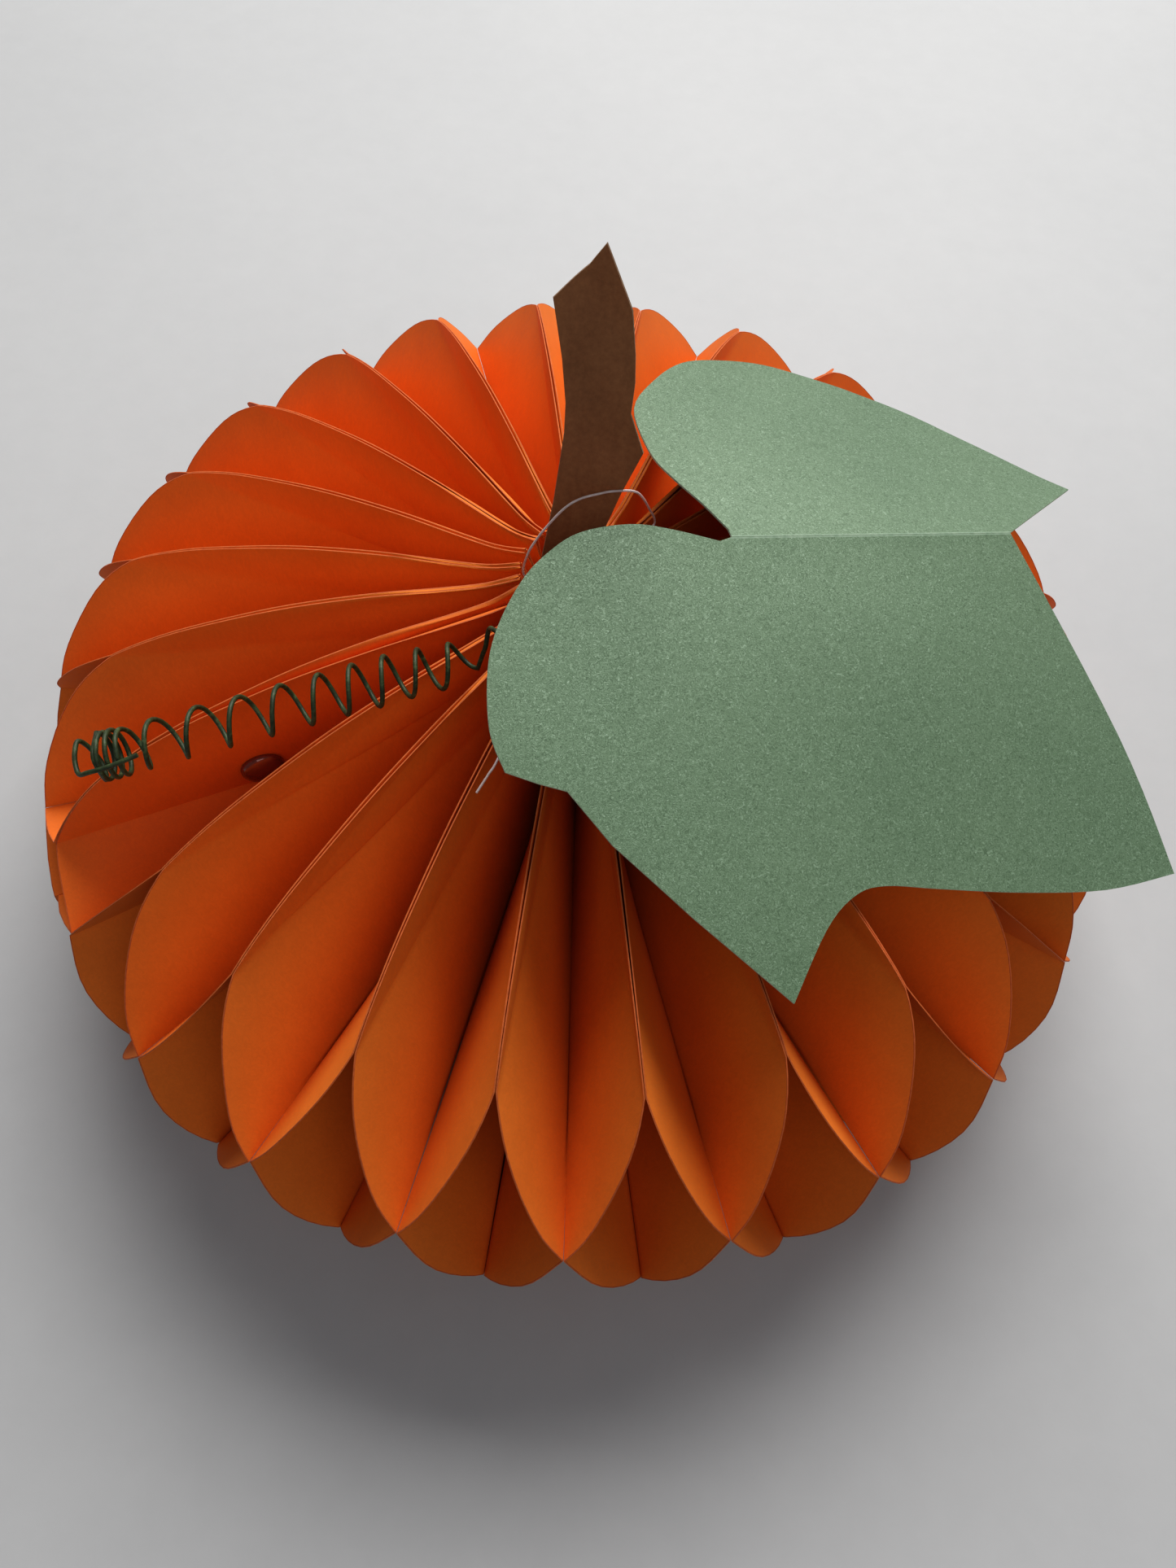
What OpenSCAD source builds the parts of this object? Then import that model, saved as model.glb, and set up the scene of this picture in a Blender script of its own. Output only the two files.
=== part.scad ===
// Hanging card pumpkin: a round fan of glued card sheets with a stem, a folded leaf and a wire
// tendril. The seam of the fan is closed by a split-pin fastener. When it is opened the cards
// swing round the spine and stack flat like the pages of a book.
// The origin is on the spine's axis, in the plane that the pumpkin stands on.

/* [Pumpkin] */
// Radius of the pumpkin at its glued waist
waist_r = 125; // [125:1:126]
// Height of the glued waist above the table
waist_h = 58; // [58:1:66]
// Ribs round the pumpkin, each made of two cards
rib_count = 24; // [24:2:24]
// Thickness of the orange card
card_t = 0.3; // [0.2:0.02:0.32]
// Half the distance between two glued cards' mid-planes
glue_half = 0.2; // [0.17:0.01:0.25]
// Height of the upper glue lines above the waist
upper_glue = 33; // [30:0.5:36]
// Depth of the lower glue lines below the waist
lower_glue = 28; // [26:0.5:30]
// Azimuth of the seam rib
seam_azimuth = -155.2; // [-180:0.1:180]

/* [Spine and crown] */
// Radius of the bound spine
spine_r = 2.5; // [2:0.1:2.5]
// Radius at which the cards begin
card_inner_r = 2.7; // [2.7:0.05:3]
// Radius of the crown hole at the top of the cards
crown_r = 12.8; // [10:0.1:12.8]
// Height of the spine's top above the waist
spine_top = 33; // [30:1:34]

/* [Seam fastener] */
// Distance of the fastener from the spine
brad_r = 74; // [60:1:85]
// Height of the fastener above the waist
brad_h = 16.5; // [16.5:0.5:20]
// Diameter of the domed head
brad_head_d = 9.5; // [8:0.5:11]
// Height of the dome
brad_dome = 2.2; // [1.5:0.1:3]
// Length of each bent leg
brad_leg = 9; // [6:0.5:12]

/* [Stem] */
// Thickness of the brown card
stem_t = 0.5; // [0.4:0.1:0.6]
// Backward lean of the stem
stem_lean = 12; // [12:1:13]

/* [Leaf] */
// Thickness of the green card
leaf_t = 0.4; // [0.3:0.1:0.5]
// Angle by which the flap is bent down along the crease
crease_bend = 20; // [18:1:22]
// Gap between the two panels at the crease
crease_gap = 0.5; // [0.3:0.1:0.6]

/* [Tendril and threads] */
// Outer radius of the curled wire
tendril_r = 4.7; // [4:0.1:5]
// Diameter of the wire
wire_d = 0.9; // [0.8:0.1:1.2]
// Diameter of the hanging thread
thread_d = 0.5; // [0.4:0.05:0.5]

/* [Hidden] */
card_count = 2 * rib_count;

rib_step = 360 / rib_count;
orange = [0.84, 0.33, 0.10];
cover_orange = [0.76, 0.25, 0.08];
brown = [0.36, 0.21, 0.12];
sage = [0.47, 0.61, 0.49];
wire_green = [0.16, 0.24, 0.14];
clear_pink = [0.85, 0.72, 0.70];
dark_bronze = [0.32, 0.10, 0.06];
slack = 0.05; // room that a pressed piece needs so that faces don't coincide

// ---- Outline of one card, from the crown to the flat base ----
// Radius and height above the waist, as shares of the waist radius
outline_shares = [
    [0.105, 0.404], [0.160, 0.388], [0.240, 0.384], [0.344, 0.382], [0.474, 0.369],
    [0.590, 0.345], [0.700, 0.313], [0.803, 0.264], [0.885, 0.196], [0.964, 0.086],
    [1.000, 0.000], [1.032, -0.104], [1.016, -0.224], [0.955, -0.335], [0.835, -0.412],
    [0.660, -0.450], [0.480, -0.462], [0.340, -0.464]];
rows_per_span = 2;

// A point on a smooth curve between b and c, where a and d are the neighbours
function smooth_point(a, b, c, d, t) =
    0.5 * (2 * b + (c - a) * t + (2 * a - 5 * b + 4 * c - d) * t * t
        + (3 * b - a - 3 * c + d) * t * t * t);
function at(list, i) = list[min(max(i, 0), len(list) - 1)];
function smooth(points, n) = [
    for (i = [0 : len(points) - 2], j = [0 : n - 1])
        smooth_point(at(points, i - 1), points[i], points[i + 1], at(points, i + 2), j / n),
    points[len(points) - 1]];

outline = smooth([for (p = outline_shares) p * waist_r], rows_per_span);
top_z = outline[0][1];
base_z = outline[len(outline) - 1][1];

// ---- How a card weaves between its neighbours ----
function card_name(i) = i == 1 ? "front_cover"
    : i == card_count ? "back_cover" : str("card_", i < 10 ? "0" : "", i);
function is_cover(i) = i == 1 || i == card_count;
function side(i) = i % 2 == 1 ? 1 : -1;
function rib_azimuth(i) = seam_azimuth + floor(i / 2) * rib_step;
// 1 where the card is glued to its outer neighbour at the waist, 0 where it meets its rib twin
function spread(i, z) =
    let (flat = is_cover(i) ? brad_h - 5.75 : z > 0 ? upper_glue : lower_glue)
    max(0, 1 - abs(z) / flat);
// Half the gap that opens between rib twins above and below their glue lines
function bow(i, z) =
    let (glue = z > 0 ? upper_glue : lower_glue, reach = (z > 0 ? top_z : -base_z) - glue,
        t = (abs(z) - glue) / reach)
    t <= 0 ? 0
        : is_cover(i) && z > 0 ? 1.6 * t * t
        : 0.3 * t * t;
function crown_inner_r(z) =
    let (t = (z - (spine_top - 7)) / (top_z - spine_top + 7))
    card_inner_r + max(0, t) * (crown_r - card_inner_r);
function polar(r, azimuth) = r * [cos(azimuth), sin(azimuth)];

// The four corners of a card's section at one height: inner and outer, each side of its middle
function card_row(i, r, z) =
    let (
        inner = polar(card_inner_r, rib_azimuth(i) + side(i) * rib_step / 4),
        out_azimuth = rib_azimuth(i) + side(i) * spread(i, z) * rib_step / 2,
        lateral = side(i) * (glue_half * (1 - 2 * spread(i, z)) + bow(i, z)),
        outer = polar(r, out_azimuth) + polar(lateral, out_azimuth + 90),
        along = (outer - inner) / norm(outer - inner),
        half = card_t / 2 * [-along[1], along[0]],
        start = inner + along * (crown_inner_r(z) - card_inner_r))
    [for (p = [start - half, start + half, outer - half, outer + half]) [p[0], p[1], z]];

module card_body(i) {
    points = [for (p = outline) each card_row(i, p[0], p[1])];
    last = len(points) - 4;
    quads = [
        for (k = [0 : 4 : last - 4]) each [
            [k + 3, k + 1, k + 5, k + 7],
            [k + 2, k + 6, k + 4, k],
            [k + 2, k + 3, k + 7, k + 6],
            [k + 1, k, k + 4, k + 5]],
        [1, 3, 2, 0],
        [last, last + 2, last + 3, last + 1]];
    translate([0, 0, waist_h])
        polyhedron(points, [for (q = quads) each [[q[0], q[1], q[2]], [q[0], q[2], q[3]]]]);
}

module card(i) {
    color(is_cover(i) ? cover_orange : orange)
        if (is_cover(i)) {
            difference() {
                card_body(i);
                at_brad() cylinder(r = brad_hole_r, h = 6, center = true, $fn = 24);
            }
        } else {
            card_body(i);
        }
}

module spine_binding() {
    color(brown)
        cylinder(r = spine_r, h = waist_h + spine_top, $fn = 48);
}

// ---- Seam fastener: a domed head whose two legs pass through both covers and bend flat ----
brad_hole_r = 1.9;
leg_w = 2.2;
leg_gauge = 0.35;
shank_half = 0.7;
cover_face = glue_half + card_t / 2;

// Puts local +Z along the seam's sideways direction, at the fastener
module at_brad() {
    rotate([0, 0, seam_azimuth])
        translate([brad_r, 0, waist_h + brad_h]) rotate([-90, 0, 0]) children();
}

module upper_brad() {
    color(dark_bronze) at_brad() {
        translate([0, 0, cover_face + slack]) {
            cylinder(d = brad_head_d, h = 0.4, $fn = 64);
            translate([0, 0, 0.4]) brad_cap();
        }
        for (s = [-1, 1])
            translate([s * shank_half / 2, 0, 0])
                cube([shank_half - 2 * slack, leg_w, 2 * cover_face + 4 * slack], center = true);
    }
}

module brad_cap() {
    cap_r = (pow(brad_head_d / 2, 2) + pow(brad_dome, 2)) / (2 * brad_dome);
    intersection() {
        translate([0, 0, brad_dome - cap_r]) sphere(r = cap_r, $fn = 96);
        cylinder(d = brad_head_d, h = brad_dome, $fn = 64);
    }
}

// One bent leg, lying on the back cover; way is 1 towards the rim and -1 towards the spine
module brad_leg_piece(way) {
    color(dark_bronze) at_brad()
        translate([way * shank_half, 0, -(cover_face + 3 * slack + leg_gauge)]) {
            rotate([90, 0, 0]) cylinder(d = leg_gauge, h = leg_w, center = true, $fn = 24);
            translate([way * brad_leg / 2, 0, 0])
                cube([brad_leg, leg_w, leg_gauge - 2 * slack], center = true);
        }
}

module upper_brad_leg_in() { brad_leg_piece(-1); }
module upper_brad_leg_out() { brad_leg_piece(1); }

// ---- Stem: a flat card cut-out whose foot stands on the spine, inside the crown hole ----
// Across and up from the foot, anticlockwise
stem_outline = [
    [-1.8, 0], [1.8, 0], [2.2, 9], [2.9, 17], [3.8, 24.6], [6.5, 33.2], [10, 42.5], [7.1, 50],
    [7.4, 56], [7.1, 61], [6, 69], [1.1, 80], [-1.6, 76], [-7.6, 70], [-5.8, 59.5], [-4.9, 51],
    [-5, 45], [-6.7, 30], [-9, 15.5], [-5.5, 8], [-2.4, 4]];

module stem() {
    color(brown)
        translate([0, 2, waist_h + spine_top + slack])
            rotate([90 - stem_lean, 0, 0])
                linear_extrude(stem_t, center = true) polygon(stem_outline);
}

// ---- Leaf: one card cut-out, creased from the sinus to one notch ----
// Each half of the outline runs from the end tip to the sinus; the first coordinate runs along
// the leaf and the second away from its middle line
flap_half = concat(
    smooth([[111.5, 0], [88.6, 19], [48.3, 43.6]], 2), [[56.5, 70.3], [33.8, 69.3]],
    smooth([[13.9, 67.6], [-4.9, 62.7], [-16.3, 58.6], [-25, 50.8], [-30.5, 43], [-32.3, 32.5],
        [-31.3, 20.8], [-23, 11.2], [-15.5, 7.4], [-7.8, 4.8], [-1, 2]], 3));
blade_half = concat(
    smooth([[111.5, 0], [99.8, 12.3], [84.5, 23.8], [69.5, 33.7], [59.5, 40.2], [55.3, 45.5],
        [53.7, 54], [54.7, 68.8]], 2),
    [[32.2, 67], [13.2, 64.7], [1.8, 61.5], [-3.1, 63.4]],
    smooth([[-8.7, 65.1], [-15, 60.6], [-21.4, 51.7], [-24.5, 44], [-26, 34.5], [-25.5, 27],
        [-23, 19], [-16.5, 11], [-9.5, 6.3], [-1, 2]], 3));
crease_angle = atan2(43.6, 48.3);
leaf_sinus = [27.4, -0.5, 64.7];
leaf_attitude = [14.5, 12.2, 16.2];
tape_t = 0.2;

module leaf_outline() {
    rotate([0, 0, -crease_angle]) polygon(concat(
        flap_half, [[0.6, 0]],
        [for (i = [len(blade_half) - 1 : -1 : 1]) [blade_half[i][0], -blade_half[i][1]]]));
}

// The part of the card on one side of the crease, which ends at the sinus between the two lobes;
// way is 1 for the flap and -1 for the blade
module leaf_panel(way) {
    far = 300;
    sinus_way = polar(far, 180 - crease_angle);
    linear_extrude(leaf_t, center = true)
        intersection() {
            leaf_outline();
            translate([0, way * crease_gap / 2])
                polygon(way > 0
                    ? [[0, 0], [far, 0], [far, far], [-far, far], sinus_way]
                    : [[0, 0], sinus_way, [-far, -far], [far, -far], [far, 0]]);
        }
}

module at_leaf() {
    translate(leaf_sinus + [0, 0, waist_h]) rotate(leaf_attitude) children();
}

module leaf_blade() { color(sage) at_leaf() leaf_panel(-1); }
module leaf_flap() { color(sage) at_leaf() rotate([-crease_bend, 0, 0]) leaf_panel(1); }

// Tape under the blade, over the wire that carries the leaf
module leaf_tape() {
    color("tan") at_leaf()
        translate([-36, -15, -(leaf_t + tape_t) / 2])
            rotate([0, 0, 45]) cube([16, 9, tape_t], center = true);
}

// ---- Wire tendril and threads ----
tendril_axis = [
    [-18, -25.4, 55.6], [-30, -30.2, 56], [-41, -34.5, 55.8], [-54, -39.5, 55], [-69, -44.5, 53.5],
    [-82, -49, 52], [-88, -50, 51.2]];
lead_route = [
    [-18, -25.4, 55.6], [-17, -25.2, 58.5], [-16.3, -23.5, 62], [-14.8, -25.5, 64.6],
    [-11.5, -28.5, 65.8], [-7.5, -27.5, 66.5], [-3.4, -24.3, 66.5], [2.9, -18.1, 65],
    [5, -11, 61.5], [2.5, -5, 55], [0.6, -1, 46], [0, 0.4, 38], [0, 0.4, 33.1]];
loop_route = [
    [-1.9, -0.6, 33.3], [-2.8, -1, 38], [-6.2, -1.6, 44], [-9.8, -1.8, 48.2],
    [-12.1, -1.7, 51.2], [-11.1, -0.8, 56.4], [-9.4, 0.6, 59.3], [-7.6, 2, 61.4],
    [-4.4, 4, 64.6], [-1.5, 5.5, 65.9], [2, 6.8, 66.2], [5.1, 7.4, 66.6], [9.5, 9.2, 64.7],
    [12.4, 11.5, 57.7], [13.9, 12.8, 51.8], [10.6, 8.8, 51.9], [7.6, 5.6, 48.2],
    [4.2, 2, 40], [1.9, -0.4, 33.3]];
tail_route = [
    [0, -1.7, 33.3], [-0.4, -2.6, 38], [-1.8, -6.2, 45], [-3.6, -10.8, 51.2], [-6, -17, 51],
    [-9.5, -29.5, 49.3], [-13.3, -42.8, 48.5], [-14.8, -46.2, 48.2], [-16.7, -50, 47.7]];

// A round tube swept along a route; every ring stands square to the route
module tube(route, d, sides) {
    count = len(route);
    rings = [for (i = [0 : count - 1])
        let (
            ahead = at(route, i + 1) - at(route, i - 1),
            t = ahead / norm(ahead),
            u = cross(t, [0.1, 0.2, 1]) / norm(cross(t, [0.1, 0.2, 1])),
            v = cross(t, u))
        for (k = [0 : sides - 1])
            route[i] + d / 2 * (u * cos(k * 360 / sides) + v * sin(k * 360 / sides))];
    polyhedron(rings, concat(
        [[for (k = [0 : sides - 1]) k]],
        [for (i = [0 : count - 2], k = [0 : sides - 1])
            let (a = i * sides + k, b = i * sides + (k + 1) % sides)
            each [[b, a, b + sides], [a, a + sides, b + sides]]],
        [[for (k = [sides - 1 : -1 : 0]) (count - 1) * sides + k]]));
}

module tendril_coil() {
    color(wire_green) translate([0, 0, waist_h]) tube(smooth(tendril_axis, 2), 2 * tendril_r, 12);
}

module tendril_lead() {
    color(wire_green) translate([0, 0, waist_h]) tube(smooth(lead_route, 2), wire_d, 8);
}

module hanging_loop() {
    color(clear_pink) translate([0, 0, waist_h]) tube(smooth(loop_route, 2), thread_d, 8);
}

module thread_tail() {
    color(clear_pink) translate([0, 0, waist_h]) tube(tail_route, thread_d, 8);
}

for (i = [1 : card_count]) card(i);
spine_binding();
stem();
leaf_blade();
leaf_flap();
leaf_tape();
tendril_coil();
tendril_lead();
hanging_loop();
thread_tail();
upper_brad();
upper_brad_leg_in();
upper_brad_leg_out();
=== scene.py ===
import math

import bmesh
import bpy
from mathutils import Euler, Matrix, Vector, noise


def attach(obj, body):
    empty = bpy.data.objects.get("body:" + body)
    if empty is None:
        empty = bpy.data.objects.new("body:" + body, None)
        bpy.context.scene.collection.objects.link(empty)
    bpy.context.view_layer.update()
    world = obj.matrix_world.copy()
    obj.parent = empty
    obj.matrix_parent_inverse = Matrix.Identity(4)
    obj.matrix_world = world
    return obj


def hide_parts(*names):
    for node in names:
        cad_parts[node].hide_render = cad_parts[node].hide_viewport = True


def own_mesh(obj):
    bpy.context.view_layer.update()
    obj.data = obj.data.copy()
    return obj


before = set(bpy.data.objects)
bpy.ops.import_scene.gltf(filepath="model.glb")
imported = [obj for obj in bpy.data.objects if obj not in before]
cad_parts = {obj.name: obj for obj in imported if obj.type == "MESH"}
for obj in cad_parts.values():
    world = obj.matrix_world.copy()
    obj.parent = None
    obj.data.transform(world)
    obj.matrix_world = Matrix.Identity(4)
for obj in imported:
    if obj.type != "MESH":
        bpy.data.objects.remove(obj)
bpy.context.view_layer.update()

# Places are in millimetres, with the table at height 0, until mm() or MM turns them into metres.
# Lights are placed in metres, and texture scales are per metre.
MM = 0.001
WAIST_H = 58.0       # height of the fan's widest part


def mm(p):
    return Vector(p) * MM


# ---------------------------------------------------------------- camera
CAMERA_AT = (3.7, -140.3, 286.65)
CAMERA_DOWN = math.radians(62.63)
CAMERA_ROLL = math.radians(3.76)
LENS_MM, SENSOR_MM = 25.22, 36
back = Vector((0, -math.cos(CAMERA_DOWN), math.sin(CAMERA_DOWN)))
right = Vector((1, 0, 0))
up = Vector((0, math.sin(CAMERA_DOWN), math.cos(CAMERA_DOWN)))
cam_x = math.cos(CAMERA_ROLL) * right + math.sin(CAMERA_ROLL) * up
cam_y = -math.sin(CAMERA_ROLL) * right + math.cos(CAMERA_ROLL) * up
camera = bpy.data.objects.new("camera", bpy.data.cameras.new("camera"))
camera.data.lens = LENS_MM
camera.data.sensor_width = SENSOR_MM
camera.data.clip_start = 0.01
turn = Matrix((cam_x, cam_y, back)).transposed().to_4x4()
camera.matrix_world = Matrix.Translation(mm(CAMERA_AT)) @ turn
bpy.context.collection.objects.link(camera)
bpy.context.scene.camera = camera


# ---------------------------------------------------------------- materials
def material(name, colour, roughness, build, **sockets):
    mat = bpy.data.materials.new(name)
    mat.use_nodes = True
    tree = mat.node_tree
    shader = tree.nodes["Principled BSDF"]
    shader.inputs["Base Color"].default_value = (*colour, 1)
    shader.inputs["Roughness"].default_value = roughness
    for key, value in sockets.items():
        shader.inputs[key.replace("_", " ")].default_value = value
    build(Nodes(tree, shader))
    return mat


class Nodes:
    """A short way to add and link nodes in one material."""

    def __init__(self, tree, shader):
        self.tree, self.shader = tree, shader
        self.where = tree.nodes.new("ShaderNodeTexCoord").outputs["Object"]

    def add(self, kind, values=(), **links):
        node = self.tree.nodes.new("ShaderNode" + kind)
        for key, value in dict(values).items():
            node.inputs[key].default_value = value
        for key, source in links.items():
            self.tree.links.new(source, node.inputs[key.replace("_", " ")])
        return node

    def stretched(self, scale):
        """The object's own coordinates, scaled."""
        return self.add("Mapping", {"Scale": scale}, Vector=self.where).outputs["Vector"]

    def noise(self, scale, detail=3.0, rough=0.5, at=None, distort=0.0):
        values = {"Scale": scale, "Detail": detail, "Roughness": rough, "Distortion": distort}
        return self.add("TexNoise", values, Vector=at or self.where).outputs["Fac"]

    def ramp(self, factor, *stops):
        node = self.add("ValToRGB", Fac=factor)
        ramp = node.color_ramp
        while len(ramp.elements) < len(stops):
            ramp.elements.new(0.5)
        for element, (place, colour) in zip(ramp.elements, stops):
            element.position, element.color = place, (*colour, 1)
        return node.outputs["Color"]

    def mix(self, factor, a, b, way="MIX"):
        node = self.tree.nodes.new("ShaderNodeMix")
        node.data_type, node.blend_type = "RGBA", way
        for index, value in ((0, factor), (6, a), (7, b)):
            if isinstance(value, (int, float)):
                node.inputs[index].default_value = value
            elif isinstance(value, tuple):
                node.inputs[index].default_value = (*value, 1)
            else:
                self.tree.links.new(value, node.inputs[index])
        return node.outputs[2]

    def paint(self, colour):
        self.tree.links.new(colour, self.shader.inputs["Base Color"])

    def rough(self, value):
        self.tree.links.new(value, self.shader.inputs["Roughness"])

    def bump(self, height, strength, distance):
        node = self.add("Bump", {"Strength": strength, "Distance": distance}, Height=height)
        if self.shader.inputs["Normal"].links:
            source = self.shader.inputs["Normal"].links[0].from_socket
            self.tree.links.new(source, node.inputs["Normal"])
        self.tree.links.new(node.outputs["Normal"], self.shader.inputs["Normal"])


def card_nodes(dark, light):
    """Dyed card: cloudy dye, short pulp fibres and a fine tooth."""
    def build(n):
        clouds = n.noise(38, 4, 0.6)
        fibres = n.noise(1100, 4, 0.7, n.stretched((1, 1, 0.35)), 1.5)
        base = n.ramp(clouds, (0.25, dark), (0.75, light))
        flecks = n.ramp(fibres, (0.40, (0.93, 0.91, 0.90)), (0.62, (1, 1, 1)))
        n.paint(n.mix(1.0, base, flecks, "MULTIPLY"))
        n.rough(n.ramp(fibres, (0.3, (0.62,) * 3), (0.7, (0.78,) * 3)))
        n.bump(fibres, 0.25, 0.00006)
        n.bump(n.noise(75, 3, 0.5), 0.35, 0.0006)
    return build


def edge_nodes(dark, light):
    """A cut edge, where the card's fibres stand out paler than its face."""
    def build(n):
        fibres = n.noise(900, 3, 0.6)
        n.paint(n.ramp(fibres, (0.3, dark), (0.7, light)))
        n.bump(fibres, 0.4, 0.00008)
    return build


def leaf_nodes(n):
    """Pearly card with short fibres pressed into its face."""
    fibres = n.noise(1250, 4, 0.75, distort=2.6)
    coarse = n.noise(420, 3, 0.6, distort=1.2)
    clouds = n.noise(22, 3, 0.5)
    base = n.ramp(clouds, (0.3, (0.128, 0.206, 0.121)), (0.7, (0.155, 0.238, 0.144)))
    pearl = n.ramp(fibres, (0.38, (0.58, 0.62, 0.58)), (0.50, (1, 1, 1)),
                   (0.66, (1.0, 1.0, 1.0)))
    flecks = n.ramp(fibres, (0.54, (0, 0, 0)), (0.68, (0.75,) * 3))
    n.paint(n.mix(flecks, n.mix(1.0, base, pearl, "MULTIPLY"), (0.36, 0.48, 0.36)))
    n.rough(n.ramp(fibres, (0.35, (0.58,) * 3), (0.65, (0.36,) * 3)))
    n.bump(fibres, 0.5, 0.00012)
    n.bump(coarse, 0.25, 0.0002)


def stem_nodes(n):
    streaks = n.noise(60, 5, 0.65, n.stretched((3.2, 3.2, 0.5)))
    fibres = n.noise(1000, 4, 0.7)
    base = n.ramp(streaks, (0.25, (0.285, 0.116, 0.044)), (0.8, (0.395, 0.173, 0.070)))
    flecks = n.ramp(fibres, (0.35, (0.80, 0.78, 0.76)), (0.65, (1, 1, 1)))
    n.paint(n.mix(1.0, base, flecks, "MULTIPLY"))
    n.bump(fibres, 0.3, 0.00008)
    n.bump(streaks, 0.4, 0.0006)


def wire_nodes(n):
    """Wire wound with dark green crepe tape; its pale green specks are partly painted highlights.
    """
    wraps_and_highlights = n.noise(420, 4, 0.7, n.stretched((1, 1, 2.4)))
    # The palest stop is painted highlight: pale green specks along the wraps stand in for the
    # wire's shine.
    n.paint(n.ramp(wraps_and_highlights, (0.30, (0.012, 0.018, 0.006)), (0.55, (0.034, 0.056, 0.017)),
                   (0.75, (0.105, 0.150, 0.058))))
    n.bump(wraps_and_highlights, 0.6, 0.00025)


def thread_nodes(n):
    twist = n.noise(700, 2, 0.5)
    n.paint(n.ramp(twist, (0.3, (0.84, 0.70, 0.68)), (0.7, (0.95, 0.86, 0.84))))
    n.bump(twist, 0.15, 0.00005)


def metal_nodes(n):
    clouds = n.noise(160, 3, 0.5)
    n.paint(n.ramp(clouds, (0.3, (0.190, 0.040, 0.024)), (0.7, (0.230, 0.055, 0.032))))
    n.rough(n.ramp(n.noise(500, 2, 0.5), (0.35, (0.20,) * 3), (0.7, (0.26,) * 3)))


def tape_nodes(n):
    crepe = n.noise(260, 4, 0.6, n.stretched((1, 5, 1)))
    n.paint(n.ramp(crepe, (0.3, (0.50, 0.42, 0.28)), (0.7, (0.66, 0.57, 0.40))))
    n.bump(crepe, 0.5, 0.0002)


def glue_nodes(n):
    beads = n.noise(300, 3, 0.6)
    n.paint(n.ramp(beads, (0.3, (0.20, 0.035, 0.010)), (0.7, (0.36, 0.08, 0.025))))
    n.bump(beads, 0.5, 0.0003)


def floor_nodes(n):
    clouds = n.noise(2.2, 5, 0.6)
    specks = n.noise(90, 4, 0.7)
    base = n.ramp(clouds, (0.3, (0.45, 0.455, 0.463)), (0.7, (0.50, 0.503, 0.508)))
    grain = n.ramp(specks, (0.3, (0.97,) * 3), (0.7, (1, 1, 1)))
    n.paint(n.mix(1.0, base, grain, "MULTIPLY"))
    n.bump(specks, 0.12, 0.0004)


ORANGE = material("orange_card", (0.8, 0.14, 0.02), 0.7,
                  card_nodes((0.78, 0.205, 0.027), (0.88, 0.250, 0.036)), Specular_IOR_Level=0.25)
COVER = material("cover_card", (0.74, 0.12, 0.02), 0.7,
                 card_nodes((0.72, 0.160, 0.022), (0.82, 0.195, 0.027)), Specular_IOR_Level=0.25)
CUT = material("orange_cut_edge", (0.80, 0.22, 0.07), 0.8,
               edge_nodes((0.50, 0.105, 0.022), (0.64, 0.155, 0.036)))
LEAF = material("leaf_card", (0.17, 0.30, 0.18), 0.5, leaf_nodes,
                Metallic=0.12, Sheen_Weight=0.2, Sheen_Roughness=0.4)
LEAF_CUT = material("leaf_cut_edge", (0.40, 0.50, 0.38), 0.8,
                    edge_nodes((0.32, 0.42, 0.31), (0.50, 0.60, 0.46)))
LEAF_CREASE = material("leaf_crease", (0.30, 0.40, 0.29), 0.6,
                       edge_nodes((0.18, 0.27, 0.18), (0.29, 0.38, 0.28)))
STEM = material("stem_card", (0.10, 0.05, 0.02), 0.72, stem_nodes)
STEM_CUT = material("stem_cut_edge", (0.24, 0.15, 0.09), 0.8,
                    edge_nodes((0.20, 0.11, 0.06), (0.33, 0.21, 0.13)))
WIRE = material("wrapped_wire", (0.02, 0.035, 0.018), 0.55, wire_nodes)
THREAD = material("clear_thread", (0.86, 0.70, 0.68), 0.16, thread_nodes,
                  Transmission_Weight=0.35, IOR=1.53, Coat_Weight=0.3)
METAL = material("bronze_metal", (0.2, 0.045, 0.027), 0.25, metal_nodes,
                 Metallic=0.35, Coat_Weight=0.8, Coat_Roughness=0.08)
TAPE = material("paper_tape", (0.58, 0.50, 0.34), 0.7, tape_nodes)
GLUE = material("spine_glue", (0.3, 0.06, 0.02), 0.6, glue_nodes)
FLOOR = material("table_top", (0.53, 0.53, 0.54), 0.6, floor_nodes)


# ---------------------------------------------------------------- shared shapes
def smooth(points, n):
    """A Catmull-Rom curve through the points, n steps to a span, as in the part's source."""
    out = []
    for i in range(len(points) - 1):
        a, b, c, d = (Vector(points[min(max(k, 0), len(points) - 1)]) for k in range(i - 1, i + 3))
        for j in range(n):
            t = j / n
            out.append(0.5 * (2 * b + (c - a) * t + (2 * a - 5 * b + 4 * c - d) * t * t
                              + (3 * b - a - 3 * c + d) * t ** 3))
    return out + [Vector(points[-1])]


def piece(name, verts, faces, materials, marks=None, sharp=40):
    """A mesh object. marks gives each face the index of its material; edges that bend by more
    than sharp degrees stay hard."""
    mesh = bpy.data.meshes.new(name)
    mesh.from_pydata([mm(v) for v in verts], [], faces)
    for mat in materials:
        mesh.materials.append(mat)
    if marks:
        mesh.polygons.foreach_set("material_index", marks)
    mesh.polygons.foreach_set("use_smooth", [True] * len(mesh.polygons))
    mesh.update()
    mesh.set_sharp_from_angle(angle=math.radians(sharp))
    obj = bpy.data.objects.new(name, mesh)
    bpy.context.collection.objects.link(obj)
    return obj


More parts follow.
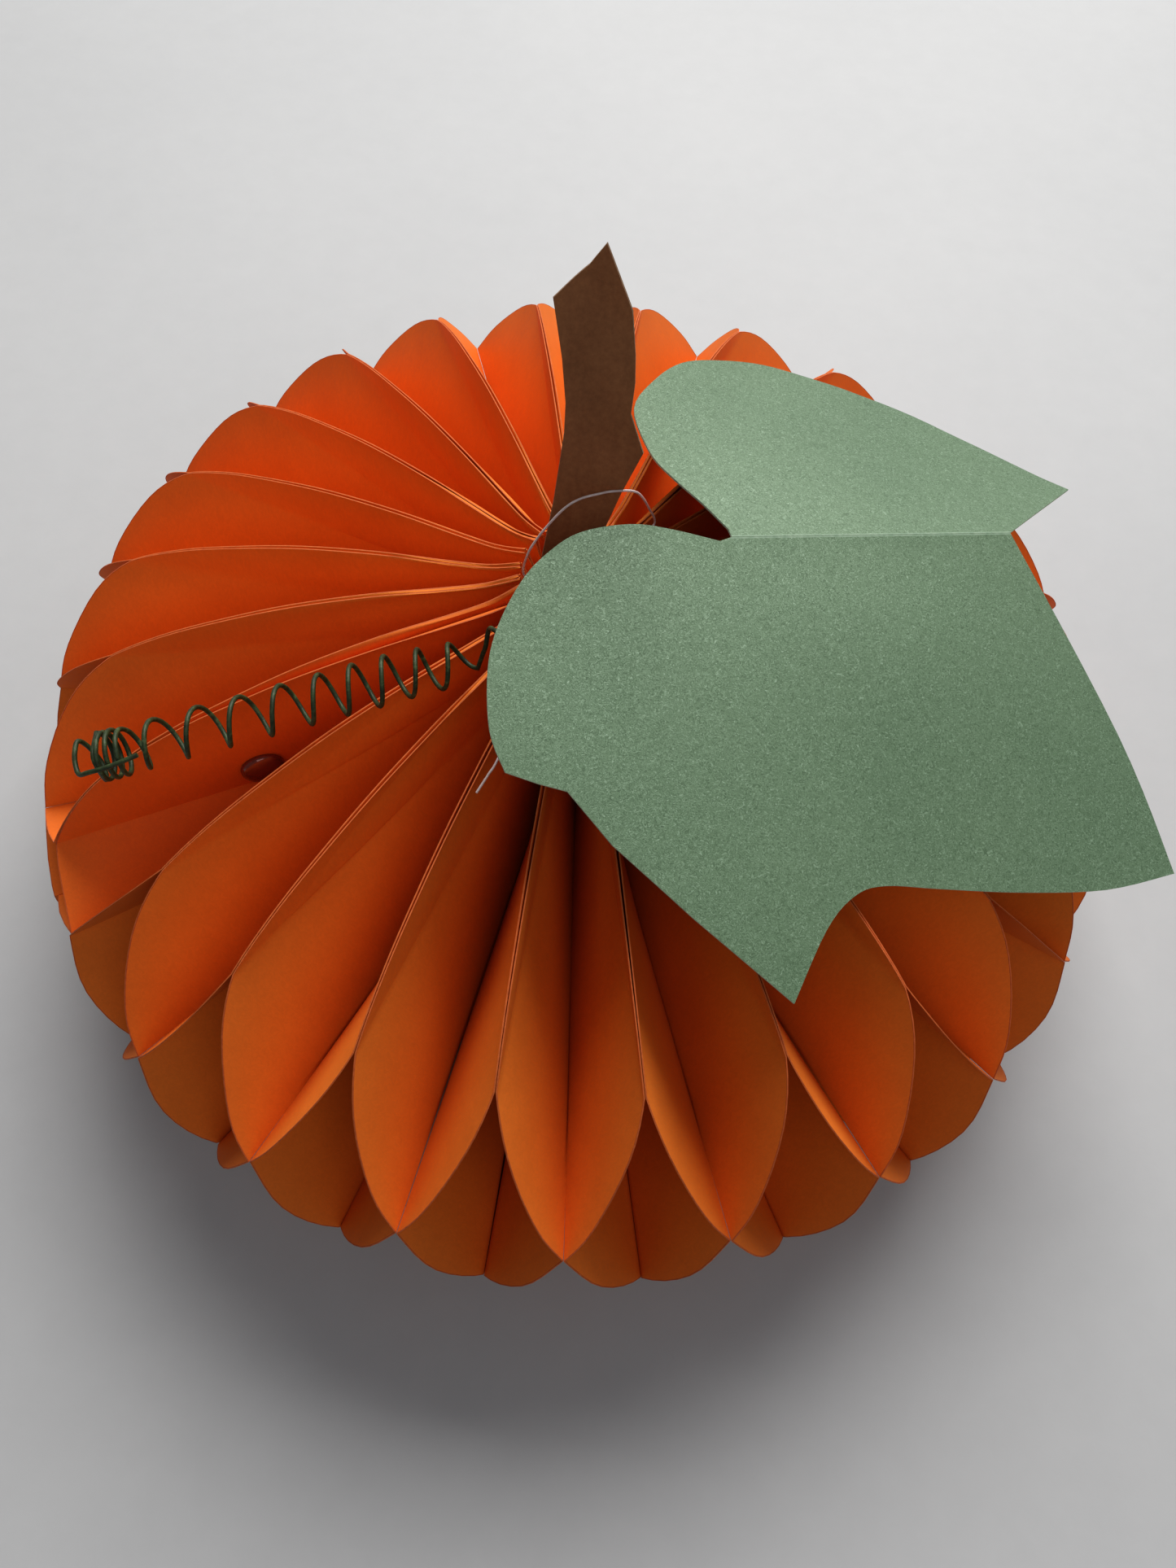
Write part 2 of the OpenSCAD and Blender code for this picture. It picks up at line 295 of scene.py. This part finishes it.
def lathe(profile, sides, place, ripple=None):
    """Turns (radius, height) pairs round local Z; place maps a local point to the frame."""
    verts, faces = [], []
    for r, h in profile:
        for k in range(sides):
            a = 2 * math.pi * k / sides
            q = r + (ripple(a, h) if ripple and r > 0.01 else 0)
            verts.append(place(Vector((q * math.cos(a), q * math.sin(a), h))))
    for i in range(len(profile) - 1):
        for k in range(sides):
            a, b = i * sides + k, i * sides + (k + 1) % sides
            faces.append((a, b, b + sides, a + sides))
    faces.append(tuple(range(sides))[::-1])
    faces.append(tuple(range((len(profile) - 1) * sides, len(profile) * sides)))
    return verts, faces


SLOPE_STEP = 0.5     # distance over which a sheet's slope is taken


def cut_sheet(name, outline, thickness, step, bend, place, materials, crease=0):
    """A card cut to a flat outline, ruled into a grid, bent by bend(x, y) and given its thickness.

    materials are face, cut edge and, with a crease, the pressed strip between y = 0 and y = crease
    on the side where x > 0."""
    bm = bmesh.new()
    bm.faces.new([bm.verts.new((x, y, 0)) for x, y in outline]).normal_update()
    bmesh.ops.triangulate(bm, faces=bm.faces[:])
    for axis in (0, 1):
        low, high = min(p[axis] for p in outline), max(p[axis] for p in outline)
        normal = (1, 0, 0) if axis == 0 else (0, 1, 0)
        for k in range(1, int((high - low) / step) + 1):
            at = [0, 0, 0]
            at[axis] = low + k * step
            bmesh.ops.bisect_plane(bm, geom=bm.verts[:] + bm.edges[:] + bm.faces[:], dist=1e-4,
                                   plane_co=at, plane_no=normal)
    if crease:
        bmesh.ops.bisect_plane(bm, geom=bm.verts[:] + bm.edges[:] + bm.faces[:], dist=1e-4,
                               plane_co=(0, crease, 0), plane_no=(0, 1, 0))
    bmesh.ops.remove_doubles(bm, verts=bm.verts[:], dist=0.01)
    bmesh.ops.recalc_face_normals(bm, faces=bm.faces[:])
    if sum(f.normal.z for f in bm.faces) < 0:
        bmesh.ops.reverse_faces(bm, faces=bm.faces[:])
    bm.verts.index_update()
    flat = [v.co.copy() for v in bm.verts]
    count = len(flat)
    verts = []
    for way in (0.5, -0.5):
        for v in flat:
            e = SLOPE_STEP
            slope = Vector((bend(v.x + e, v.y) - bend(v.x - e, v.y),
                            bend(v.x, v.y + e) - bend(v.x, v.y - e), 0))
            normal = Vector((-slope.x, -slope.y, 1)).normalized()
            verts.append(place(Vector((v.x, v.y, bend(v.x, v.y))) + normal * way * thickness))
    faces, marks = [], []
    for f in bm.faces:
        ring = [v.index for v in f.verts]
        faces += [tuple(ring), tuple(k + count for k in reversed(ring))]
        centre = f.calc_center_median()
        in_strip = crease and centre.x > 0 and abs(centre.y) < abs(crease)
        marks += [2, 2] if in_strip else [0, 0]
    for e in bm.edges:
        if len(e.link_faces) == 1:
            loop = e.link_loops[0]
            a, b = loop.vert.index, loop.link_loop_next.vert.index
            faces.append((b, a, a + count, b + count))
            marks.append(1)
    bm.free()
    return piece(name, verts, faces, materials, marks)


def wobble(seed, t, rate):
    """A smooth value from about -1 to 1 that depends only on its arguments."""
    return 2 * noise.noise(Vector((t * rate, seed * 7.31 + 0.5, 3.7)))


# ---------------------------------------------------------------- the fan of cards
WAIST_R = 125.0
RIBS = 24
CARDS = 2 * RIBS
STEP = 360.0 / RIBS  # degrees from rib to rib
SEAM = -155.2        # azimuth of the rib where the two covers meet
CARD_T = 0.25
GLUE_HALF = 0.18     # half the distance between the middles of two glued cards
# Heights above and below the waist where a card parts from its rib twin; the two covers stay
# together nearly to the waist
UPPER_GLUE, LOWER_GLUE = 33.0, 28.0
COVER_FLAT = 10.75
CARD_INNER_R, CROWN_R, SPINE_TOP = 2.7, 12.8, 33.0
# (radius, height above the waist) of a card's edge, in waist radii, from the crown to the base
OUTLINE = [
    (.105, .404), (.160, .388), (.240, .384), (.344, .382), (.474, .369), (.590, .345),
    (.700, .313), (.803, .264), (.885, .196), (.964, .086), (1, 0), (1.032, -.104),
    (1.016, -.224), (.955, -.335), (.835, -.412), (.660, -.450), (.480, -.462), (.340, -.464)]
outline = smooth([(r * WAIST_R, z * WAIST_R) for r, z in OUTLINE], 4)
TOP_Z, BASE_Z = outline[0][1], outline[-1][1]
SHARES = [0, .06, .15, .27, .40, .53, .66, .78, .88, .95]   # where the columns lie, spine to rim
EDGE_BAND = 0.22     # width of the band at the rim that takes the cut edge's colour
BEND_ROW = 1.2       # how far the extra rows lie from a bend
ROW_GAP = 0.3        # an extra row keeps this far from the outline's own rows
CROWN_FROM = 7.0     # how far below the spine's top the crown starts to open

# How far the cards stray from their exact shape, in millimetres
UPPER_VARIES, LOWER_VARIES = 1.0, 0.8   # the heights where the glue ends
RIM_VARIES = 0.18                       # the cut edge
HAND_CUT, HAND_CUT_IN = 0.42, 0.2       # the first cover's edge: its waver and its mean step in
COVER_BOW, CARD_BOW = 1.6, 0.3          # twins bowing apart toward the crown and the base
PAIR_SWAY = 0.55                        # twins leaning the same way together
WAVE, BELLY = 0.5, 0.5                  # one card's own waves, and its swelling to its own side


def card_name(i):
    return {1: "front_cover", CARDS: "back_cover"}.get(i, f"card_{i:02d}")


def polar(r, azimuth):
    return Vector((r * math.cos(math.radians(azimuth)), r * math.sin(math.radians(azimuth))))


def glue_lines(i):
    """Heights at which the card leaves its rib twin, a little different on each rib."""
    if i in (1, CARDS):
        return COVER_FLAT, COVER_FLAT
    rib = (i // 2) % RIBS
    return (UPPER_GLUE + UPPER_VARIES * wobble(rib, 1, 3.1),
            LOWER_GLUE + LOWER_VARIES * wobble(rib, 2, 2.3))


def card_rows(i):
    """The outline with rows added where the card changes direction."""
    rows = [tuple(p) for p in outline]
    high, low = glue_lines(i)
    for z in (high, -low, high - BEND_ROW, -low + BEND_ROW, BEND_ROW, -BEND_ROW):
        for k in range(len(rows) - 1):
            (r0, z0), (r1, z1) = rows[k], rows[k + 1]
            if z0 - ROW_GAP > z > z1 + ROW_GAP:
                rows.insert(k + 1, (r0 + (r1 - r0) * (z - z0) / (z1 - z0), z))
                break
    return rows


def card_mesh(i):
    """One ruled card: rows down the outline, columns from the spine out to the cut edge."""
    side = 1 if i % 2 else -1
    rib = SEAM + (i // 2) * STEP
    pair = (i // 2) % RIBS
    cover = i in (1, CARDS)
    rows = card_rows(i)
    high, low = glue_lines(i)
    columns = len(SHARES) + 2
    verts = []
    for r, z in rows:
        r += RIM_VARIES * wobble(i + 60, z, 0.05)
        if i == 1:
            r += HAND_CUT * wobble(9, z + r, 0.16) - HAND_CUT_IN
        glue = high if z > 0 else low
        spread = max(0.0, 1 - abs(z) / glue)
        parting = UPPER_GLUE if z > 0 else LOWER_GLUE
        reach = (TOP_Z if z > 0 else -BASE_Z) - parting
        t = (abs(z) - parting) / reach
        bow = 0.0 if t <= 0 else (COVER_BOW if cover and z > 0 else CARD_BOW) * t * t
        sway = (1 - spread) ** 2 * PAIR_SWAY * wobble(pair + 20, z, 0.035)
        inner = polar(CARD_INNER_R, rib + side * STEP / 4)
        out = rib + side * spread * STEP / 2
        lateral = side * (GLUE_HALF * (1 - 2 * spread) + bow) + sway
        outer = polar(r, out) + polar(lateral, out + 90)
        way = (outer - inner).normalized()
        normal = Vector((-way.y, way.x))
        rise = (z - (SPINE_TOP - CROWN_FROM)) / (TOP_Z - SPINE_TOP + CROWN_FROM)
        start = inner + way * max(0.0, rise) * (CROWN_R - CARD_INNER_R)
        length = (outer - start).length
        for u in SHARES + [1 - EDGE_BAND / length, 1]:
            at = start + (outer - start) * u
            bulge = math.sin(math.pi * u) * (WAVE * wobble(i, z + 40 * u, 0.03)
                                             + side * BELLY * math.sin(math.pi * spread))
            at = at + normal * bulge
            for s in (-0.5, 0.5):
                verts.append((*(at + normal * s * CARD_T), z + WAIST_H))
    faces, marks = [], []

    def face(ring, mark):
        faces.append(tuple(ring))
        marks.append(mark)

    def index(k, c, s):
        return (k * columns + c) * 2 + s

    for k in range(len(rows) - 1):
        for c in range(columns - 1):
            ring = [(k, c), (k + 1, c), (k + 1, c + 1), (k, c + 1)]
            mark = 1 if c == columns - 2 else 0
            face([index(a, b, 0) for a, b in ring], mark)
            face([index(a, b, 1) for a, b in reversed(ring)], mark)
        last = columns - 1
        face([index(k, last, 0), index(k + 1, last, 0),
              index(k + 1, last, 1), index(k, last, 1)], 1)
        face([index(k, 0, 1), index(k + 1, 0, 1), index(k + 1, 0, 0), index(k, 0, 0)], 1)
    for c in range(columns - 1):
        face([index(0, c, 1), index(0, c, 0), index(0, c + 1, 0), index(0, c + 1, 1)], 1)
        k = len(rows) - 1
        face([index(k, c, 0), index(k, c, 1), index(k, c + 1, 1), index(k, c + 1, 0)], 1)
    return verts, faces, marks


for i in range(1, CARDS + 1):
    name = card_name(i)
    cover = i in (1, CARDS)
    verts, faces, marks = card_mesh(i)
    card = piece("paper_" + name, verts, faces, [COVER if cover else ORANGE, CUT], marks)
    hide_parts(name)
    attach(card, "fan_core" if i == 1 else name)
    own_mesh(card)

# The bound spine: 48 folded card edges set in glue
SPINE_R = 2.42
profile = [(2.2, 0), (SPINE_R, 0.25)] + [(SPINE_R, 2 + 2.5 * k) for k in range(36)] \
    + [(SPINE_R, 90.6), (2.1, 90.95)]
spine = piece("glued_spine", *lathe(
    profile, 192, lambda p: p,
    lambda a, h: 0.06 * math.cos(CARDS * a) + 0.03 * wobble(3, a * 4 + h, 0.6)), [GLUE])
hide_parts("spine_binding")
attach(spine, "fan_core")

# ---------------------------------------------------------------- seam fastener
BRAD_R, BRAD_H = 74.0, 16.5
HEAD_D, HEAD_RISE = 9.5, 2.2
LEG, LEG_W, LEG_T = 9.0, 2.2, 0.22
LEG_FROM, LEG_UNDER = 0.75, 0.5   # from the fastener's middle, and under the cover's face
LEG_RIB = 0.10
ROUND_FROM, ROUND_FOR = 0.86, 0.145   # shares of the leg's length where its end rounds off
COVER_FACE = GLUE_HALF + CARD_T / 2
seam_turn = Matrix.Rotation(math.radians(SEAM), 3, "Z")
lay_turn = Matrix.Rotation(math.radians(-90), 3, "X")


def at_brad(p):
    """Local +Z is the seam's sideways direction, at the fastener."""
    return seam_turn @ (Vector((BRAD_R, 0, WAIST_H + BRAD_H)) + lay_turn @ Vector(p))


def leg_mesh(way):
    """A flat leg with a rounded end and a rib pressed along it."""
    verts, faces = [], []
    base = -(COVER_FACE + LEG_UNDER)
    across = [-1, -.7, -.3, 0, .3, .7, 1]
    rows = 14
    for k in range(rows + 1):
        t = k / rows
        half = LEG_W / 2 * math.sqrt(max(0.02, 1 - max(0, (t - ROUND_FROM) / ROUND_FOR) ** 2))
        for a in across:
            rib = LEG_RIB * max(0, 1 - (a / 0.5) ** 2) * min(1, t * 8, (1 - t) * 8)
            for s in (-0.5, 0.5):
                verts.append(at_brad((way * (LEG_FROM + t * LEG), a * half,
                                      base - rib + s * LEG_T)))
    n = len(across)
    for k in range(rows):
        for a in range(n - 1):
            ring = [(k * n + a), (k * n + a + 1), (k * n + n + a + 1), (k * n + n + a)]
            faces.append(tuple(2 * v for v in ring))
            faces.append(tuple(2 * v + 1 for v in reversed(ring)))
        for a, flip in ((0, 1), (n - 1, 0)):
            ring = [2 * (k * n + a), 2 * (k * n + n + a), 2 * (k * n + n + a) + 1,
                    2 * (k * n + a) + 1]
            faces.append(tuple(ring[::-1] if flip else ring))
    for k, flip in ((0, 0), (rows, 1)):
        for a in range(n - 1):
            ring = [2 * (k * n + a), 2 * (k * n + a) + 1, 2 * (k * n + a + 1) + 1,
                    2 * (k * n + a + 1)]
            faces.append(tuple(ring[::-1] if flip else ring))
    return verts, faces


lift = COVER_FACE + 0.05
head = HEAD_D / 2
profile = [(0.8, -1.0), (0.8, lift - 0.02), (head - 0.55, lift), (head - 0.12, lift + 0.02),
           (head, lift + 0.16), (head - 0.04, lift + 0.34)]
for k in range(1, 13):
    a = math.pi / 2 * k / 12
    profile.append((max(0.02, (head - 0.04) * math.cos(a) ** 0.8),
                    lift + 0.34 + (HEAD_RISE + 0.02) * math.sin(a) ** 1.1))
dome = piece("fastener_head", *lathe(profile, 64, at_brad), [METAL], sharp=50)
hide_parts("upper_brad")
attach(dome, "fan_core")
for end, way in (("in", -1), ("out", 1)):
    leg = piece("fastener_leg_" + end, *leg_mesh(way), [METAL])
    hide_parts("upper_brad_leg_" + end)
    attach(leg, "upper_brad_leg_" + end)

# ---------------------------------------------------------------- stem
STEM_OUTLINE = [
    (-1.8, 0), (1.8, 0), (2.2, 9), (2.9, 17), (3.8, 24.6), (6.5, 33.2), (10, 42.5), (7.1, 50),
    (7.4, 56), (7.1, 61), (6, 69), (1.1, 80), (-1.6, 76), (-7.6, 70), (-5.8, 59.5), (-4.9, 51),
    (-5, 45), (-6.7, 30), (-9, 15.5), (-5.5, 8), (-2.4, 4)]
STEM_LEAN = 12       # degrees back from upright
stem_turn = Matrix.Rotation(math.radians(90 - STEM_LEAN), 3, "X")


def stem_bend(x, y):
    """Hand-creased card: a slanting crease high up and a fold near the tip."""
    crease = max(0.0, (y - 51 - 0.35 * x))
    tip = max(0.0, (y - 71 + 0.9 * x))
    return -0.055 * crease + 0.16 * tip + 0.5 * math.sin(y / 16) + 0.010 * x * x


STEM_T = 0.5
STEM_AT = Vector((0, 2, WAIST_H + SPINE_TOP + 0.05))
stem = cut_sheet("stem_paper", STEM_OUTLINE, STEM_T, 2.5, stem_bend,
                 lambda p: STEM_AT + stem_turn @ p, [STEM, STEM_CUT])
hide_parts("stem")
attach(stem, "stem")

# ---------------------------------------------------------------- leaf
LEAF_T = 0.4
LEAF_TILT = (14.5, 12.2, 16.2)   # degrees about X, Y and Z
leaf_turn = Euler([math.radians(a) for a in LEAF_TILT], "XYZ").to_matrix()
LEAF_AT = Vector((27.4, -0.5, 64.7 + WAIST_H))
CREASE_BEND = math.radians(20)
CREASE_END = (48.3, 43.6)        # the crease runs here from the leaf's notch, at (0, 0)
CREASE_ANGLE = math.atan2(CREASE_END[1], CREASE_END[0])
CREASE_STRIP = 0.35  # width of the pressed strip on each side of the crease
flap_turn = Matrix.Rotation(-CREASE_BEND, 3, "X")
flap_side = smooth([CREASE_END, (56.5, 70.3)], 4) \
    + smooth([(56.5, 70.3), (33.8, 69.3)], 3)[1:] \
    + smooth([(33.8, 69.3), (13.9, 67.6), (-4.9, 62.7), (-16.3, 58.6), (-25, 50.8), (-30.5, 43),
              (-32.3, 32.5), (-31.3, 20.8), (-23, 11.2), (-15.5, 7.4), (-7.8, 4.8), (-1, 2)], 5)[1:]
tip_side = smooth([(111.5, 0), (88.6, 19), CREASE_END], 6)
blade_half = smooth([(111.5, 0), (99.8, 12.3), (84.5, 23.8), (69.5, 33.7), (59.5, 40.2),
                     (55.3, 45.5), (53.7, 54), (54.7, 68.8)], 5) \
    + [(32.2, 67), (13.2, 64.7), (1.8, 61.5), (-3.1, 63.4)] \
    + smooth([(-8.7, 65.1), (-15, 60.6), (-21.4, 51.7), (-24.5, 44), (-26, 34.5), (-25.5, 27),
              (-23, 19), (-16.5, 11), (-9.5, 6.3), (-1, 2)], 5)


def along_crease(points):
    """Turns leaf coordinates so that the crease runs along +X."""
    c, s = math.cos(CREASE_ANGLE), math.sin(CREASE_ANGLE)
    return [(p[0] * c + p[1] * s, -p[0] * s + p[1] * c) for p in points]


flap_outline = [(x, max(y, 0.02)) for x, y in along_crease(flap_side)] + [(0.6, 0.02)]
blade_outline = along_crease([(p[0], -p[1]) for p in blade_half])[::-1]
blade_outline = blade_outline[:-1] + [(x, min(y, -0.02)) for x, y in along_crease(tip_side)] \
    + [(0.6, -0.02)]


def blade_bend(x, y):
    """Flat at the crease and gently waved away from it."""
    away = 1 - math.exp(-(y / 18) ** 2)
    return away * (1.1 * math.sin(x / 34 + 0.6) * math.cos(y / 41)
                   + 0.5 * wobble(5, x + 0.6 * y, 0.03))


def flap_bend(x, y):
    away = 1 - math.exp(-(y / 14) ** 2)
    return away * (0.9 * math.sin(x / 30 + 1.9) + 0.4 * wobble(6, x - y, 0.035))


blade = cut_sheet("leaf_blade_paper", blade_outline, LEAF_T, 5, blade_bend,
                  lambda p: LEAF_AT + leaf_turn @ p, [LEAF, LEAF_CUT, LEAF_CREASE],
                  -CREASE_STRIP)
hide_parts("leaf_blade")
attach(blade, "leaf")
flap = cut_sheet("leaf_flap_paper", flap_outline, LEAF_T, 5, flap_bend,
                 lambda p: LEAF_AT + leaf_turn @ (flap_turn @ p),
                 [LEAF, LEAF_CUT, LEAF_CREASE], CREASE_STRIP)
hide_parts("leaf_flap")
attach(flap, "leaf_flap")

TAPE_L, TAPE_W, EDGE_STEPS = 16, 9, 12   # every second step along an end is a tooth


def tooth(k):
    """How far the zigzag cut at the tape's end stands out."""
    return 0.35 if k % 2 else -0.1


tape_outline = [(-TAPE_L / 2, -TAPE_W / 2)] \
    + [(TAPE_L / 2 + tooth(k), -TAPE_W / 2 + TAPE_W * k / EDGE_STEPS)
       for k in range(EDGE_STEPS + 1)] \
    + [(-TAPE_L / 2 - tooth(k), TAPE_W / 2 - TAPE_W * k / EDGE_STEPS)
       for k in range(EDGE_STEPS)]
tape_turn = Matrix.Rotation(math.radians(45), 3, "Z")


TAPE_AT, TAPE_UNDER = Vector((-36, -15, 0)), 0.33


def tape_place(p):
    q = TAPE_AT + tape_turn @ Vector((p.x, p.y, 0))
    return LEAF_AT + leaf_turn @ Vector((q.x, q.y, blade_bend(q.x, q.y) - TAPE_UNDER + p.z))


tape = cut_sheet("leaf_tape_paper", tape_outline, 0.2, 1.5,
                 lambda x, y: -0.05 * (1 + math.sin(x * 1.1)) * math.cos(y / 3), tape_place,
                 [TAPE, TAPE])
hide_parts("leaf_tape")
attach(tape, "leaf")

# ---------------------------------------------------------------- wire tendril and threads
WIRE_D, THREAD_D, COIL_R = 0.9, 0.5, 4.7
TENDRIL_AXIS = [(-18, -25.4, 55.6), (-30, -30.2, 56), (-41, -34.5, 55.8), (-54, -39.5, 55),
                (-69, -44.5, 53.5), (-82, -49, 52), (-88, -50, 51.2)]
LEAD_ROUTE = [
    (-18, -25.4, 55.6), (-17, -25.2, 58.5), (-16.3, -23.5, 62), (-14.8, -25.5, 64.6),
    (-11.5, -28.5, 65.8), (-7.5, -27.5, 66.5), (-3.4, -24.3, 66.5), (2.9, -18.1, 65),
    (5, -11, 61.5), (2.5, -5, 55), (0.6, -1, 46), (0, 0.4, 38), (0, 0.4, 33.1)]
LOOP_ROUTE = [
    (-1.9, -0.6, 33.3), (-2.8, -1, 38), (-6.2, -1.6, 44), (-9.8, -1.8, 48.2),
    (-12.1, -1.7, 51.2), (-11.1, -0.8, 56.4), (-9.4, 0.6, 59.3), (-7.6, 2, 61.4),
    (-4.4, 4, 64.6), (-1.5, 5.5, 65.9), (2, 6.8, 66.2), (5.1, 7.4, 66.6), (9.5, 9.2, 64.7),
    (12.4, 11.5, 57.7), (13.9, 12.8, 51.8), (10.6, 8.8, 51.9), (7.6, 5.6, 48.2),
    (4.2, 2, 40), (1.9, -0.4, 33.3)]
TAIL_ROUTE = [
    (0, -1.7, 33.3), (-0.4, -2.6, 38), (-1.8, -6.2, 45), (-3.6, -10.8, 51.2), (-6, -17, 51),
    (-9.5, -29.5, 49.3), (-13.3, -42.8, 48.5), (-14.8, -46.2, 48.2), (-16.7, -50, 47.7)]


def cord_piece(name, points, diameter, mat, sides=4):
    data = bpy.data.curves.new(name, "CURVE")
    data.dimensions = "3D"
    data.bevel_depth = diameter / 2 * MM
    data.bevel_resolution = sides
    data.use_fill_caps = True
    line = data.splines.new("POLY")
    line.points.add(len(points) - 1)
    for point, at in zip(line.points, points):
        point.co = (*mm(at), 1)
    line.use_smooth = True
    data.materials.append(mat)
    obj = bpy.data.objects.new(name, data)
    bpy.context.collection.objects.link(obj)
    return obj


def lifted(points):
    return [Vector(p) + Vector((0, 0, WAIST_H)) for p in points]


# The coil's axis, and how far along it each of its points lies
axis_line = lifted(smooth(TENDRIL_AXIS, 12))
axis_at = [0.0]
for a, b in zip(axis_line, axis_line[1:]):
    axis_at.append(axis_at[-1] + (b - a).length)


def on_axis(s):
    """The point at s along the axis (the end spans run on straight) and the direction there."""
    k = max([j for j, m in enumerate(axis_at[:-1]) if m <= s] or [0])
    way = (axis_line[k + 1] - axis_line[k]).normalized()
    return axis_line[k] + way * (s - axis_at[k]), way


def off_axis(s, high, near):
    """A point beside the coil's axis: high in the picture and near the camera."""
    at, way = on_axis(s)
    near_way = Vector(CAMERA_AT) - at
    near_way = (near_way - way * near_way.dot(way)).normalized()
    return at + near * near_way + high * way.cross(near_way)


# Where along the axis each turn's top lies: open turns, then close ones
TURN_AT = [-5, 5.3, 11.2, 17.4, 23.4, 29.6, 36.8, 44.5, 52.2, 60.3, 66.3, 68.1, 69.7, 71.1]
PER_TURN = 28
coil = []
for k in range(PER_TURN // 2, (len(TURN_AT) - 1) * PER_TURN + 1):
    turn, share = divmod(k, PER_TURN)
    last = min(turn + 1, len(TURN_AT) - 1)
    s = TURN_AT[turn] + (TURN_AT[last] - TURN_AT[turn]) * share / PER_TURN
    a = 2 * math.pi * share / PER_TURN
    grown = min(1, 0.45 + 0.9 * (k / PER_TURN - 0.5))   # the first turn starts small
    size = (COIL_R - WIRE_D / 2) * grown
    size *= 1 + 0.04 * wobble(12, k / PER_TURN, 0.8)
    coil.append(off_axis(s, size * math.cos(a), size * math.sin(a)))
# The last turn opens wide and the wire's end crosses back over the close turns
COIL_END = [
    (71.1, 4.2, 0), (70.6, 0, 4.2), (71.0, -4.3, 0), (72.6, -1.5, -3.2), (74.2, 1.8, -2.2),
    (74.9, 3.2, 0), (75.0, 1.2, 1.6), (74.9, -0.9, 2.2), (73.7, -2.8, 3.2), (71.4, -2.5, 4.9),
    (68, -1.9, 5.3), (63.1, -1.2, 5.3)]
coil += smooth([off_axis(*p) for p in COIL_END], 6)[1:]
# A few points are left out where lead and coil meet, so that they join in one bend
lead = lifted(smooth(LEAD_ROUTE, 6))[::-1]
wire_line = lead[:-4] + coil[2:]
wire = cord_piece("tendril_wire", wire_line, WIRE_D, WIRE)
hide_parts("tendril_coil", "tendril_lead")
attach(wire, "tendril")

for name, route, node, end in (("loop_thread", LOOP_ROUTE, "hanging_loop", "object"),
                               ("tail_thread", TAIL_ROUTE, "thread_tail", "bare")):
    line = lifted(smooth(route, 6))
    thread = cord_piece(name, line, THREAD_D, THREAD, 3)
    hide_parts(node)
    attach(thread, "fan_core")

# ---------------------------------------------------------------- floor and light
TABLE_HALF = 4000
floor = piece("table", [(x * TABLE_HALF, y * TABLE_HALF, 0)
                        for x, y in ((-1, -1), (1, -1), (1, 1), (-1, 1))],
              [(0, 1, 2, 3)], [FLOOR])
floor.location.z = -0.2 * MM    # just under the part, so that their faces don't meet


def area_light(name, at, to, size, watts, colour=(1, 1, 1)):
    data = bpy.data.lights.new(name, "AREA")
    data.shape = "RECTANGLE"
    data.size, data.size_y = size
    data.energy = watts
    data.color = colour
    obj = bpy.data.objects.new(name, data)
    obj.location = at
    obj.rotation_euler = (Vector(to) - Vector(at)).to_track_quat("-Z", "Y").to_euler()
    bpy.context.collection.objects.link(obj)


area_light("ceiling", (0.12, 0.80, 1.08), (0.03, 0.05, 0.05), (1.1, 0.7), 20, (1.0, 0.985, 0.96))
area_light("fill", (0.35, -0.8, 1.1), (0, 0, 0.08), (0.8, 0.8), 2.3, (0.98, 0.98, 1.0))
world = bpy.data.worlds.new("room")
world.use_nodes = True
world.node_tree.nodes["Background"].inputs["Color"].default_value = (0.86, 0.89, 0.93, 1)
world.node_tree.nodes["Background"].inputs["Strength"].default_value = 0.17
bpy.context.scene.world = world
bpy.context.scene.view_settings.view_transform = "Standard"
bpy.context.scene.view_settings.look = "Medium High Contrast"

bpy.context.view_layer.update()
